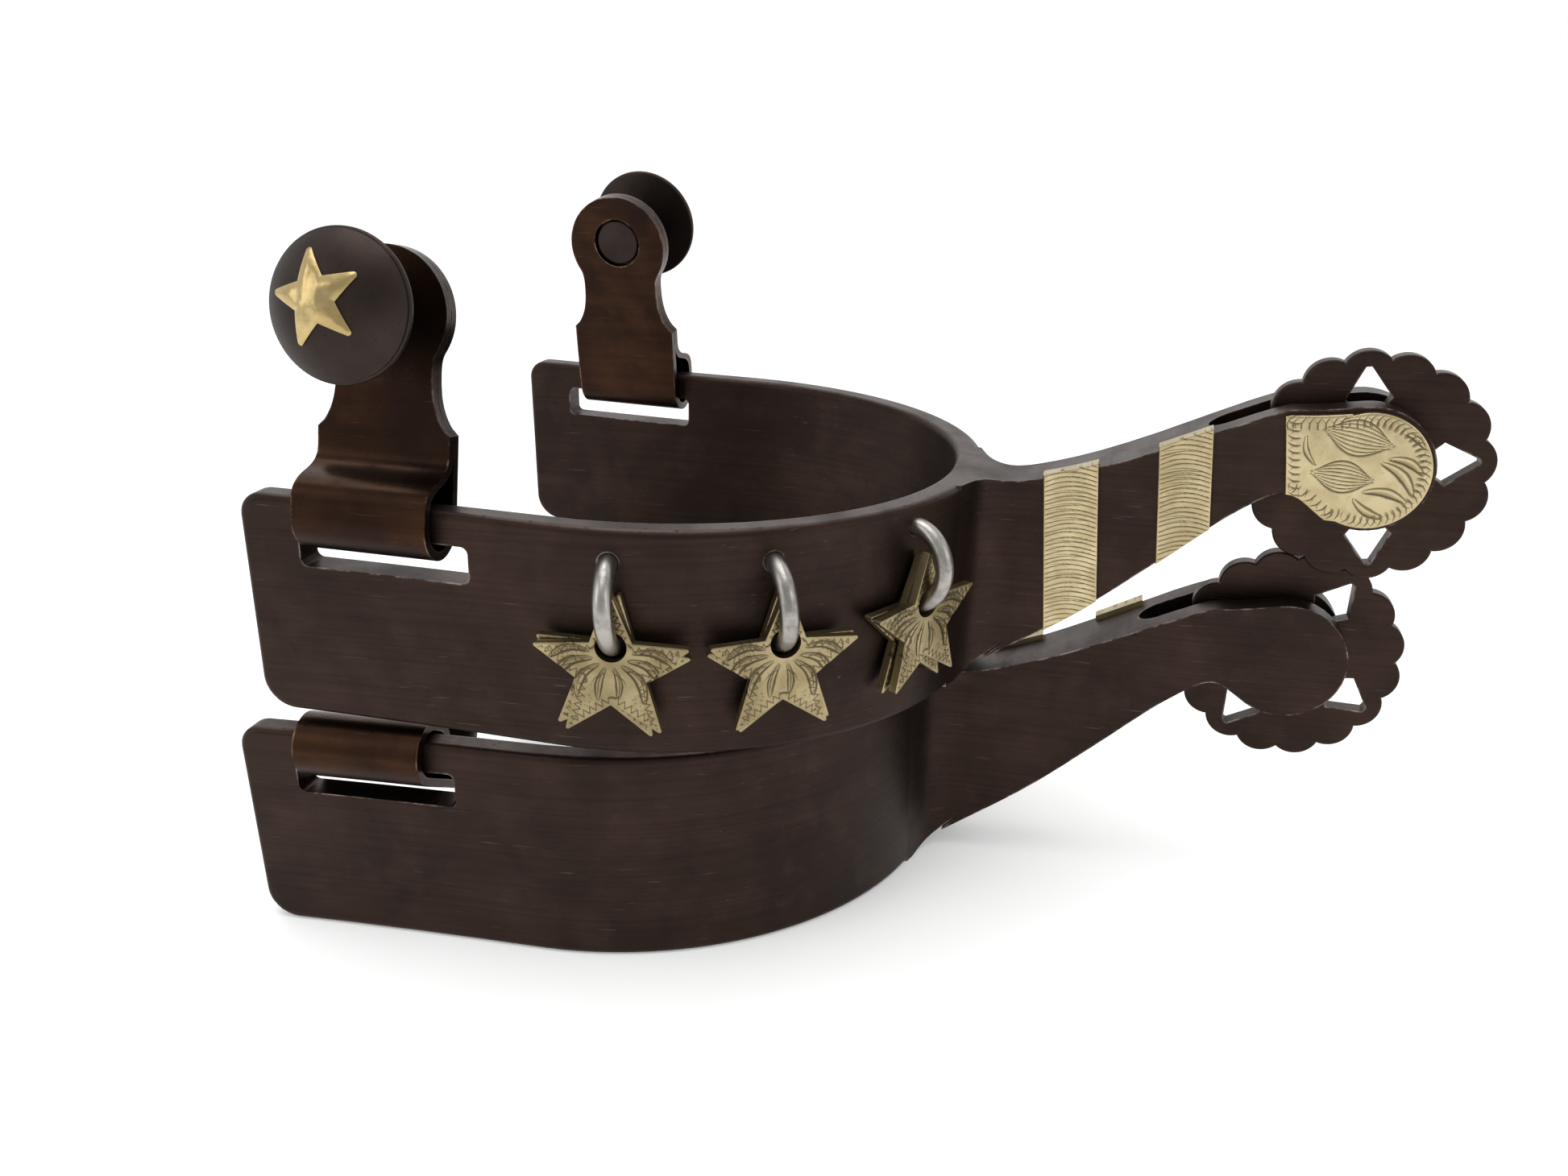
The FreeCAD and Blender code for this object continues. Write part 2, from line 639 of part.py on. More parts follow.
def shank_strip(x_low, x_high):
    """Silver strip on the outer side, lapped a little way over the top edge."""
    zone = leaning_zone(x_low, x_high, 32.0, STRIP_LEAN)
    face = shank_blank(OVERLAY)
    lap_inner = -shank_side((x_low + x_high) / 2, -FLAP_DEPTH)
    lap_zone = Part.makeBox(FAR, FAR, FAR, point(-FAR / 2, lap_inner - FAR, 0))
    lap = shank_blank(OVERLAY, OVERLAY).common(lap_zone)
    strip = face.fuse(lap).common(zone).cut(shank_blank())
    near = Part.makeBox(FAR, FAR, FAR, point(-FAR / 2, lap_inner - FAR, 0))
    strip = strip.common(near)
    return max(strip.Solids, key=lambda s: s.Volume)


def rowel_cap():
    """Crowned silver cap over the cheek and the end of the rowel pin."""
    zone = leaning_zone(CAP_X, PIN_X + 3 * CHEEK_R, CAP_Z, CAP_LEAN)
    side = stand_up(slab(shank_profile(), FAR))
    top_y = -FORK_HALF - CAP_CROWN - CAP_RIM
    crown = Part.makeSphere(CAP_BALL_R, point(PIN_X - CAP_BALL_BACK, top_y + CAP_BALL_R, PIN_Z))
    front = Part.makeBox(FAR, 2 * WALL, FAR, point(-FAR / 2, -FORK_HALF - 2 * WALL, 0))
    lowered = side.copy()
    lowered.translate(point(0, 0, -CAP_INSET))
    cap = side.common(lowered).common(zone).common(front).common(crown)
    disc = rod(CHEEK_R - CAP_INSET, point(PIN_X, 0, PIN_Z), point(PIN_X, -FAR / 4, PIN_Z))
    tail_low = PIN_Z - CHEEK_R + CAP_TAIL_RISE
    tail = Part.makeBox(PIN_X - CAP_X, FAR / 4, 2 * CHEEK_R, point(CAP_X - CAP_TAIL, -FAR / 4, tail_low))
    return cap.common(disc.fuse(tail)).removeSplitter()


# ---- one spur, then the pair ---------------------------------------------------------

def build_spur(name):
    """All the pieces of one spur, drawn as a left spur in its own frame."""
    pieces = {
        "heel_band": spur_body(),
        "rowel": rowel(ROWEL_TURN[name]),
        "rowel_pin": rowel_pin(),
        "rowel_cap": rowel_cap(),
    }
    for place, (x_low, x_high) in STRIP_X.items():
        pieces["shank_strip_" + place] = shank_strip(x_low, x_high)
    for k, (which, side) in enumerate((("outer", -1), ("inner", 1))):
        place = fold_place(name, k, side)
        lean = Placement(point(0, 0), Rotation(point(1, 0, 0), -HANGER_LEAN[name][k]))
        place = place.multiply(lean)
        makers = {"_hanger": hanger, "_button": button, "_button_rivet": rivet, "_button_star": button_star}
        for ending, maker in makers.items():
            shape = maker()
            shape.Placement = place.multiply(shape.Placement)
            pieces[which + ending] = shape
    for number in STAPLES:
        wire = staple()
        wire.Placement = staple_place(number).multiply(wire.Placement)
        pieces[f"star_staple_{number}"] = wire
        extra = 0 if name == "left" else RIGHT_STAR_TURN
        for layer, where in enumerate(("back", "front")):
            star = hanging_star(layer, STAR_TURN[number][layer] + extra)
            star.Placement = hang_place(number).multiply(star.Placement)
            pieces[f"star_{number}_{where}"] = star
    return pieces


def stack_place():
    """Where the left spur lies on the right one."""
    turn = Rotation(point(0, 0, 1), STACK_YAW).multiply(Rotation(point(0, 1, 0), STACK_TIP))
    return Placement(point(*STACK_SHIFT), turn)


def main():
    os.makedirs("parts", exist_ok=True)
    for piece, shape in build_spur("left").items():
        shape.Placement = stack_place().multiply(shape.Placement)
        shape.exportStep(f"parts/left_{piece}.step")
    for piece, shape in build_spur("right").items():
        shape.mirror(point(0, 0), point(0, 1, 0)).exportStep(f"parts/right_{piece}.step")


main()
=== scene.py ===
"""Looks for a stacked pair of western show spurs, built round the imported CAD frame."""

import json
import math

import bmesh
import bpy
import numpy as np
from mathutils import Matrix, Vector

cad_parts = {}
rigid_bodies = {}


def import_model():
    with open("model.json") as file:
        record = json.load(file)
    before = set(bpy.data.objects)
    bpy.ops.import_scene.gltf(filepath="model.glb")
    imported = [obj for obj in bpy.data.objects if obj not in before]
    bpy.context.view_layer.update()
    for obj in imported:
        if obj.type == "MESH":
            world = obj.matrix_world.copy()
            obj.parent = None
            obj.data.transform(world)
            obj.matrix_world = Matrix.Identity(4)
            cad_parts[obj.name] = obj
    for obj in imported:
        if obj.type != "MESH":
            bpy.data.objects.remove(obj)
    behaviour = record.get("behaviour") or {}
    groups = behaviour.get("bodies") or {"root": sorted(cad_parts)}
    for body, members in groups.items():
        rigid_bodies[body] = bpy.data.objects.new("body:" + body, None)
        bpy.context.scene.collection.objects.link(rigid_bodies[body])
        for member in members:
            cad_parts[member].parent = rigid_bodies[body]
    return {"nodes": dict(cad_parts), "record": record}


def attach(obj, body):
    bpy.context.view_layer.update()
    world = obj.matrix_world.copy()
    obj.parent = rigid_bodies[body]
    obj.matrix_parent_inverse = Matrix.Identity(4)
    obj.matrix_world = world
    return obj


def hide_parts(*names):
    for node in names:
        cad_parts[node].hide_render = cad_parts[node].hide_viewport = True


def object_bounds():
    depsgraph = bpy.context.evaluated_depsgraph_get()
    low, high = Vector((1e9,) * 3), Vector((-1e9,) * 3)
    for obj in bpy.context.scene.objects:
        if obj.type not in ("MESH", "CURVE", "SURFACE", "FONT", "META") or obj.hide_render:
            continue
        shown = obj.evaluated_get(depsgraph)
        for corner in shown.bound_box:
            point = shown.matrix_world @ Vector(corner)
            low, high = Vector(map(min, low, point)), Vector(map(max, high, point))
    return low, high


for leftover in list(bpy.data.objects):
    bpy.data.objects.remove(leftover)

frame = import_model()
CAD_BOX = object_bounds()
NODES = frame["nodes"]
BODY_OF = {n: b for b, members in frame["record"]["behaviour"]["bodies"].items() for n in members}

MM = 0.001

# Where each spur's own drawing lies in the row frame. A spur is drawn as a left one.
SPUR_PLACE = {
    "left": Matrix.Translation((5.4 * MM, -2.0 * MM, 30.65 * MM))
    @ Matrix.Rotation(math.radians(-1.15), 4, "Z")
    @ Matrix.Rotation(math.radians(2.1), 4, "Y"),
    "right": Matrix.Scale(-1, 4, (0, 1, 0)),
}

# Sizes that the engraved pieces share with the CAD, in millimetres
HEEL_DEPTH, HEEL_HALF, HEEL_CENTRE = 47.2, 44.8, -45.2
STAPLE_SPAN = 10.5
STAPLES = {1: (79.7, 15.3, 4.5), 2: (54.8, 15.3, 4.0), 3: (28.2, 16.6, -2.0)}
STAR_HOLE_UP = 3.1
STAR_STANDOFF = {"back": 0.45, "front": 1.95}
STAR_RISE = {"back": 0.12, "front": 0.75}
STAR_TURN = {1: {"back": -6.0, "front": 1.0}, 2: {"back": 3.5, "front": -1.0}, 3: {"back": -3.0, "front": 2.0}}
RIGHT_STAR_TURN = 2.0
BAR_X, BAR_Y, BAR_Z, ARM_ANGLE = -67.1, 43.10, 27.9, 1.59
HANGER_LEAN = {"left": {"outer": 10.0, "inner": 9.0}, "right": {"outer": 119.0, "inner": 119.0}}
HANGER_DROP = {"left": {"outer": 0.4, "inner": 0.0}, "right": {"outer": 0.4, "inner": 0.4}}
HANGER_SLIDE = {"left": {"outer": -1.9, "inner": 0.9}, "right": {"outer": 0.5, "inner": -1.4}}

LEAF_LINES = 9
STIPPLE_DOTS = 26
STRIP_CUT_PITCH = 0.66
FRINGE_PITCH = 0.95
FACING = -0.55                          # faces whose normal's Y is below this are the face
FINE = 1.0       # coarser cuts while trying things


# ---- engraving ---------------------------------------------------------------------

class Plate:
    """A copy of a thin CAD piece, lying in XZ and facing -Y, in millimetres."""

    def __init__(self, node, place):
        self.bm = bmesh.new()
        self.bm.from_mesh(NODES[node].data)
        self.bm.transform(Matrix.Scale(1 / MM, 4) @ place.inverted())
        self.store = self.bm.verts.layers.float.new("cut")
        bmesh.ops.remove_doubles(self.bm, verts=self.bm.verts, dist=0.002)
        bmesh.ops.dissolve_limit(self.bm, angle_limit=math.radians(0.4), verts=self.bm.verts,
                                 edges=self.bm.edges, delimit={"NORMAL"})

    def score(self, step):
        """Cut the face into small squares, so that it can take an engraving."""
        for axis in (0, 2):
            across = Vector((axis == 0, 0, axis == 2))
            spots = [v.co[axis] for v in self.bm.verts]
            for spot in np.arange(min(spots) + step / 2, max(spots), step):
                faces = [f for f in self.bm.faces if f.normal.y < 0.9]
                edges = {e for f in faces for e in f.edges}
                verts = {v for e in edges for v in e.verts}
                bmesh.ops.bisect_plane(self.bm, geom=[*verts, *edges, *faces], dist=0.0005,
                                       plane_co=across * spot, plane_no=across)
        self.bm.normal_update()
        self.front = [v for v in self.bm.verts if any(f.normal.y < FACING for f in v.link_faces)]
        self.spots = np.array([(v.co.x, v.co.z) for v in self.front])
        self.depth = np.zeros(len(self.front))
        self.cut_shade = np.zeros(len(self.front))
        self.round = np.zeros(len(self.front))
        self._measure_rim()

    def _measure_rim(self):
        """How far each front point is from the outline, and how far along it."""
        rim = {}
        for edge in self.bm.edges:
            sides = [f.normal.y < FACING for f in edge.link_faces]
            if len(sides) == 2 and sides[0] != sides[1]:
                for a, b in (edge.verts, reversed(edge.verts)):
                    rim.setdefault(a, []).append(b)
        loops = []
        while rim:
            here = next(iter(rim))
            loop = [here]
            while True:
                ways = [v for v in rim.pop(here, []) if v in rim]
                if not ways:
                    break
                here = ways[0]
                loop.append(here)
            loops.append(loop)
        outline = max(loops, key=len)
        self.outline = np.array([(v.co.x, v.co.z) for v in outline + outline[:1]])
        if np.cross(self.outline[:-1], self.outline[1:]).sum() < 0:
            self.outline = self.outline[::-1]
        self.inset = np.full(len(self.front), 1e3)
        self.along = np.zeros(len(self.front))
        run = 0.0
        for a, b in zip(self.outline[:-1], self.outline[1:]):
            length = max(float(np.hypot(*(b - a))), 1e-6)
            t = np.clip((self.spots - a) @ (b - a) / length ** 2, 0, 1)
            away = np.hypot(*(self.spots - a - t[:, None] * (b - a)).T)
            nearer = away < self.inset
            self.inset[nearer] = away[nearer]
            self.along[nearer] = run + t[nearer] * length
            run += length
        self.run = run

    def cut(self, points, width, depth, lead=0.5, tail=0.5, leaf=False):
        """A tapered graver cut; a leaf is bright inside and keeps dark only along its sides."""
        points = np.array(points, float)
        runs = np.hypot(*np.diff(points, axis=0).T)
        off = np.full(len(self.spots), 9.0)
        swell = np.zeros(len(self.spots))
        done = 0.0
        for a, b, length in zip(points[:-1], points[1:], runs):
            near = np.flatnonzero(np.abs(self.spots - (a + b) / 2).max(axis=1) < length / 2 + width)
            p = self.spots[near] - a
            t = np.clip(p @ (b - a) / length ** 2, 0, 1)
            away = np.hypot(*(p - t[:, None] * (b - a)).T)
            share = (done + t * length) / runs.sum()
            full = 0.15 + 0.85 * np.sqrt(np.clip(np.minimum(share / lead, (1 - share) / tail), 0, 1))
            here = away / (width / 2 * full)
            nearer = here < off[near]
            off[near[nearer]] = here[nearer]
            swell[near[nearer]] = full[nearer]
            done += length
        # Painted shade along the cut: how dark each point is painted.
        dark = 1 - np.abs(off - 0.78) / 0.42 if leaf else 1 - off
        self.depth = np.maximum(self.depth, depth * swell * np.clip(1 - off, 0, 1))
        self.cut_shade = np.maximum(self.cut_shade, np.clip(dark, 0, 1))

    def dots(self, spots, width, depth):
        """Small round punch marks."""
        for spot in spots:
            mark = np.clip(1 - (2 * np.hypot(*(self.spots - spot).T) / width) ** 2, 0, 1)
            self.depth = np.maximum(self.depth, depth * mark)
            # Painted shade in the punch marks.
            self.cut_shade = np.maximum(self.cut_shade, 0.7 * mark)

    def zigzag(self, inset, height, pitch, width, depth):
        """A wriggled line that follows the outline."""
        turns = max(round(self.run / pitch), 1)
        saw = np.abs((self.along / self.run * turns) % 1 - 0.5) * 2
        slope = math.cos(math.atan2(2 * height, pitch))
        away = np.abs(self.inset - inset - height * saw) * slope
        mark = np.clip(1 - 2 * away / width, 0, 1)
        self.depth = np.maximum(self.depth, depth * mark)
        # Painted shade along the wriggled line.
        self.cut_shade = np.maximum(self.cut_shade, 0.8 * mark)

    def fringe(self, pitch, near, far, sweep, bow, width, depth):
        """Curved cuts side by side, from near to far inside the outline."""
        steps = np.diff(self.outline, axis=0)
        ends = np.concatenate([[0], np.cumsum(np.hypot(*steps.T))])
        count = round(self.run / pitch)
        for spot in (np.arange(count) + 0.5) * self.run / count:
            k = min(np.searchsorted(ends, spot, side="right") - 1, len(steps) - 1)
            way = self.outline[min(k + 4, len(steps))] - self.outline[max(k - 3, 0)]
            way /= max(np.hypot(*way), 1e-6)
            inward = np.array((-way[1], way[0]))
            at = self.outline[k] + steps[k] * (spot - ends[k]) / max(np.hypot(*steps[k]), 1e-6)
            self.cut(bend(at + inward * near, at + inward * far + way * sweep, bow, 6), width, depth, 0.7, 0.3)

    def soften(self, reach, drop):
        """Round the outline over, as polishing does."""
        self.round = drop * np.clip(1 - self.inset / reach, 0, 1) ** 2

    def finish(self):
        """Sink the cuts into the face and keep each point's painted shade."""
        for vert, cut, drop, dark in zip(self.front, self.depth, self.round, self.cut_shade):
            vert.co.y += cut + drop
            vert[self.store] = dark
        return self

    def piece(self, name, place, node, slot, material):
        """The finished piece in the row frame, standing for its CAD node."""
        bm = self.bm.copy()
        place = place @ Matrix.Scale(MM, 4)
        bm.transform(place)
        if place.determinant() < 0:
            bmesh.ops.reverse_faces(bm, faces=bm.faces)
        return make_piece(name, bm, node, material)


def make_piece(name, bm, node, material, smooth=35):
    mesh = bpy.data.meshes.new(name)
    bm.to_mesh(mesh)
    bm.free()
    for old in [a.name for a in mesh.attributes if a.name.startswith("custom_normal")]:
        mesh.attributes.remove(mesh.attributes[old])
    mesh.polygons.foreach_set("use_smooth", [True] * len(mesh.polygons))
    mesh.set_sharp_from_angle(angle=math.radians(smooth))
    mesh.materials.clear()
    mesh.materials.append(material)
    piece = bpy.data.objects.new(name, mesh)
    bpy.context.scene.collection.objects.link(piece)
    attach(piece, BODY_OF[node])
    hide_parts(node)
    return piece


# ---- finishes ----------------------------------------------------------------------

class Value:
    """A number that changes over a surface; sums on it add Math nodes."""

    def __init__(self, finish, socket):
        self.finish = finish
        self.socket = socket

    def _math(self, operation, *terms):
        node = self.finish.node("ShaderNodeMath", {"operation": operation}, dict(enumerate(terms)))
        return Value(self.finish, node.outputs[0])

    def __add__(self, other):
        return self._math("ADD", self, other)

    __radd__ = __add__

    def __sub__(self, other):
        return self._math("SUBTRACT", self, other)

    def __rsub__(self, other):
        return self._math("SUBTRACT", other, self)

    def __mul__(self, other):
        return self._math("MULTIPLY", self, other)

    __rmul__ = __mul__

    def ramp(self, low, high):
        """0 below low, 1 above high, smooth between."""
        inputs = {"Value": self, "From Min": low, "From Max": high}
        node = self.finish.node("ShaderNodeMapRange", {"interpolation_type": "SMOOTHSTEP"}, inputs)
        return Value(self.finish, node.outputs["Result"])


class Nodes:
    """A node tree, with one way of adding to it."""

    def __init__(self, tree):
        self.tree = tree

    def node(self, kind, settings=None, inputs=None):
        """A node of one type: its settings first, then the values or links of its sockets."""
        return self.fill(self.tree.nodes.new(kind), settings, inputs)

    def fill(self, node, settings=None, inputs=None):
        for key, value in (settings or {}).items():
            setattr(node, key, value)
        for key, value in (inputs or {}).items():
            if isinstance(value, Value):
                value = value.socket
            if isinstance(value, bpy.types.NodeSocket):
                self.tree.links.new(value, node.inputs[key])
            else:
                node.inputs[key].default_value = value
        return node


class Finish(Nodes):
    """A procedural metal finish, built round one Principled shader."""

    def __init__(self, name, metallic=1.0, fixed=None):
        self.material = bpy.data.materials.new(name)
        self.material.use_nodes = True
        super().__init__(self.material.node_tree)
        self.shader = self.tree.nodes["Principled BSDF"]
        self.fill(self.shader, inputs={"Metallic": metallic, **(fixed or {})})
        self.coords = self.node("ShaderNodeTexCoord").outputs["Object"]

    def feed(self, socket, value):
        self.fill(self.shader, inputs={socket: value})

    def stretched(self, scale, turn=(0, 0, 0)):
        """Object coordinates, turned and squeezed."""
        inputs = {"Vector": self.coords, "Scale": scale, "Rotation": turn}
        return self.node("ShaderNodeMapping", {}, inputs).outputs[0]

    def grain(self, scale, detail=3.0, rough=0.55, distort=0.0, turn=(0, 0, 0)):
        """Noise; scale is in cycles per metre, one number or one for each axis."""
        scale = scale if isinstance(scale, tuple) else (scale,) * 3
        inputs = {"Vector": self.stretched(scale, turn), "Scale": 1.0, "Detail": detail,
                  "Roughness": rough, "Distortion": distort}
        return Value(self, self.node("ShaderNodeTexNoise", {}, inputs).outputs["Fac"])

    def cells(self, scale):
        """Distance to the nearest of many scattered points."""
        inputs = {"Vector": self.stretched((scale,) * 3), "Scale": 1.0}
        return Value(self, self.node("ShaderNodeTexVoronoi", {"feature": "F1"}, inputs).outputs["Distance"])

    def blend(self, mask, under, over):
        """One colour over another."""
        inputs = {"Factor": mask, 6: self._colour(under), 7: self._colour(over)}
        return self.node("ShaderNodeMix", {"data_type": "RGBA"}, inputs).outputs[2]

    @staticmethod
    def _colour(colour):
        return (*colour, 1.0) if isinstance(colour, tuple) else colour

    def worn_edges(self, radius, low, high):
        """1 along arrises, where handling rubs the finish through."""
        round_normal = self.node("ShaderNodeBevel", {"samples": 6}, {"Radius": radius}).outputs[0]
        normal = self.node("ShaderNodeNewGeometry").outputs["Normal"]
        match = self.node("ShaderNodeVectorMath", {"operation": "DOT_PRODUCT"}, {0: round_normal, 1: normal})
        return (1 - Value(self, match.outputs["Value"])).ramp(low, high)

    def facing_up(self, low, high):
        """1 on faces that look upwards."""
        normal = self.node("ShaderNodeTexCoord").outputs["Normal"]
        up = self.node("ShaderNodeSeparateXYZ", {}, {0: normal}).outputs["Z"]
        return Value(self, up).ramp(low, high)

    def attribute(self, name):
        """A number that the mesh keeps at its points."""
        return Value(self, self.node("ShaderNodeAttribute", {"attribute_name": name}).outputs["Fac"])

    def relief(self, height, distance, strength):
        """Fine bumps, in metres."""
        node = self.node("ShaderNodeBump", {}, {"Height": height, "Distance": distance, "Strength": strength})
        self.feed("Normal", node.outputs[0])


def browned_steel(name, dark, warm, rubbed_and_lit, bare, streaks=(35, 35, 2600), rough=0.38):
    """Oil-browned steel: cloudy brown, fine brushing, pitted bare places on top edges, and a painted highlight on
    faces that look upwards.
    """
    f = Finish(name)
    clouds = f.grain(55, detail=4, rough=0.6, distort=0.4).ramp(0.3, 0.72)
    patches = f.grain(190, detail=3, rough=0.5).ramp(0.45, 0.75)
    brushing = f.grain(streaks, detail=3, rough=0.6)
    speckle = f.grain(2400, detail=2, rough=0.6)
    pits = f.cells(700).ramp(0.10, 0.24)
    edge = f.worn_edges(0.0005, 0.02, 0.16)
    rub = edge * f.grain(320, detail=4, rough=0.7).ramp(0.42, 0.68)
    # Painted highlight: faces that look upwards are lightened as if lit from above.
    lit_top = f.facing_up(0.75, 0.97) * f.grain(120, detail=4).ramp(0.25, 0.6)
    scratch = f.grain((140, 900, 5000), detail=1, distort=0.6, turn=(0.3, 0.5, 0.2)).ramp(0.73, 0.78)
    skin = f.blend(clouds, dark, warm)
    skin = f.blend(patches * 0.35, skin, tuple(c * 1.35 for c in warm))
    skin = f.blend(brushing.ramp(0.35, 0.75) * 0.3, skin, tuple(c * 0.6 for c in dark))
    # Painted highlight on the upward faces; the scratches below share its colour.
    skin = f.blend(lit_top * 0.6, skin, rubbed_and_lit)
    skin = f.blend((1 - pits) * 0.6 * (0.2 + lit_top), skin, tuple(c * 0.35 for c in dark))
    skin = f.blend(scratch * 0.5, skin, rubbed_and_lit)
    skin = f.blend(rub * 0.8, skin, bare)
    f.feed("Base Color", skin)
    f.feed("Roughness", rough + brushing * 0.10 + speckle * 0.06 - lit_top * 0.08 - rub * 0.10)
    f.relief(brushing * 0.5 + speckle * 0.6 + pits * 0.5, 0.00003, 0.55)
    return f.material


def button_steel(name, dark, warm, bare):
    """Darker, softly pitted browned steel for the domed buttons and rivets."""
    f = Finish(name)
    clouds = f.grain(130, detail=4, rough=0.6).ramp(0.3, 0.7)
    speckle = f.grain(1500, detail=4, rough=0.7)
    pits = f.cells(900).ramp(0.05, 0.2)
    edge = f.worn_edges(0.0003, 0.05, 0.25) * f.grain(400, detail=3).ramp(0.5, 0.75)
    skin = f.blend(clouds, dark, warm)
    skin = f.blend((1 - pits) * 0.5, skin, tuple(c * 0.5 for c in dark))
    skin = f.blend(edge * 0.5, skin, bare)
    f.feed("Base Color", skin)
    f.feed("Roughness", 0.38 + speckle * 0.12)
    f.relief(speckle + pits * 0.6, 0.00003, 0.5)
    return f.material


def drawn_wire(name, bright, dull):
    """Satin nickel wire with faint drawing lines and a few dull places."""
    f = Finish(name)
    dullness = f.grain(420, detail=4, rough=0.65).ramp(0.4, 0.75)
    lines = f.grain(2600, detail=3, rough=0.7)
    f.feed("Base Color", f.blend(dullness, bright, dull))
    f.feed("Roughness", 0.26 + dullness * 0.14 + lines * 0.08)
    f.relief(lines, 0.00001, 0.4)
    return f.material


def engraved_silver(name, pale, stained, cut_shade, rough=0.3, stain=0.5):
    """Nickel silver with a mottled tarnish; the cuts are darkened with painted shade."""
    f = Finish(name)
    cut = f.attribute("cut")
    haze = f.grain(260, detail=5, rough=0.62, distort=0.5).ramp(0.32, 0.68)
    shade = f.grain(70, detail=2).ramp(0.35, 0.65)
    fleck = f.grain(1500, detail=3, rough=0.7)
    polish = f.grain((120, 120, 1800), detail=3, rough=0.6)
    skin = f.blend(haze * stain, pale, stained)
    skin = f.blend(shade * 0.35, skin, tuple(c * 0.75 for c in stained))
    skin = f.blend(fleck.ramp(0.55, 0.75) * 0.3, skin, tuple(c * 0.6 for c in stained))
    # Painted shade: the colour darkens in the cuts, following the mesh's cut attribute.
    skin = f.blend(cut.ramp(0.1, 0.75) * 0.85, skin, cut_shade)
    f.feed("Base Color", skin)
    f.feed("Roughness", rough + haze * 0.10 + polish * 0.06 + cut * 0.08)
    f.relief(polish * 0.4 + fleck, 0.00001, 0.5)
    return f.material


FINISHES = {
    "browned_steel": browned_steel(
        "browned_steel", (0.027, 0.0185, 0.0155), (0.043, 0.027, 0.021), (0.11, 0.085, 0.075), (0.38, 0.31, 0.27)),
    "bronzed_strap_steel": browned_steel(
        "bronzed_strap_steel", (0.021, 0.012, 0.009), (0.046, 0.022, 0.012), (0.10, 0.058, 0.036),
        (0.34, 0.22, 0.14), (60, 60, 900), rough=0.27),
    "dark_button_steel": button_steel(
        "dark_button_steel", (0.031, 0.023, 0.020), (0.043, 0.032, 0.028), (0.20, 0.16, 0.14)),
    "bright_nickel_wire": drawn_wire("bright_nickel_wire", (0.38, 0.36, 0.33), (0.20, 0.185, 0.17)),
    "polished_brass_silver": engraved_silver(
        "polished_brass_silver", (0.62, 0.49, 0.25), (0.36, 0.25, 0.09), (0.12, 0.08, 0.03), rough=0.2, stain=0.6),
    "engraved_nickel_silver": engraved_silver(
        "engraved_nickel_silver", (0.40, 0.33, 0.19), (0.23, 0.18, 0.09), (0.05, 0.037, 0.02), stain=0.75),
    "engraved_overlay_silver": engraved_silver(
        "engraved_overlay_silver", (0.56, 0.47, 0.28), (0.36, 0.28, 0.14), (0.09, 0.065, 0.035),
        rough=0.24, stain=0.55),
}
SLOT_OF = {row["node"]: row["material_slot"] for row in frame["record"]["subparts"]}
for node, part in NODES.items():
    part.data.materials.clear()
    part.data.materials.append(FINISHES[SLOT_OF[node]])


# ---- engraved pieces ---------------------------------------------------------------

def bend(start, end, bow, count=9):
    """Points of a bowed line; bow is its sideways swing, to the left of travel."""
    a, b = np.array(start, float), np.array(end, float)
    side = np.array((a[1] - b[1], b[0] - a[0]))
    side /= max(np.hypot(*side), 1e-9)
    shares = np.linspace(0, 1, count)
    return [a + (b - a) * t + side * bow * math.sin(math.pi * t) for t in shares]


def turned(x, z, degrees):
    t = math.radians(degrees)
    return x * math.cos(t) - z * math.sin(t), x * math.sin(t) + z * math.cos(t)


def hang_place(number):
    """Upright frame where a staple's lower leg leaves the heel: -Y is out of it."""
    spot, low, lean = STAPLES[number]
    t = math.radians(spot)
    base = Vector((HEEL_CENTRE + HEEL_DEPTH * math.cos(t), -HEEL_HALF * math.sin(t), 0)) * MM
    turn = math.atan2(-math.sin(t) / HEEL_HALF, math.cos(t) / HEEL_DEPTH) + math.pi / 2
    aside = STAPLE_SPAN / 2 * math.sin(math.radians(lean))
    leg = Matrix.Translation(Vector((aside, 0, low)) * MM)
    return Matrix.Translation(base) @ Matrix.Rotation(turn, 4, "Z") @ leg


def star_place(side, number, layer):
    turn = STAR_TURN[number][layer] + (RIGHT_STAR_TURN if side == "right" else 0)
    hang = Vector((0, -STAR_STANDOFF[layer], STAR_RISE[layer])) * MM
    # A turn about -Y, which is how a plate drawn face up comes to stand.
    tilt = Matrix.Rotation(math.radians(-turn), 4, "Y")
    return SPUR_PLACE[side] @ hang_place(number) @ Matrix.Translation(hang) @ tilt


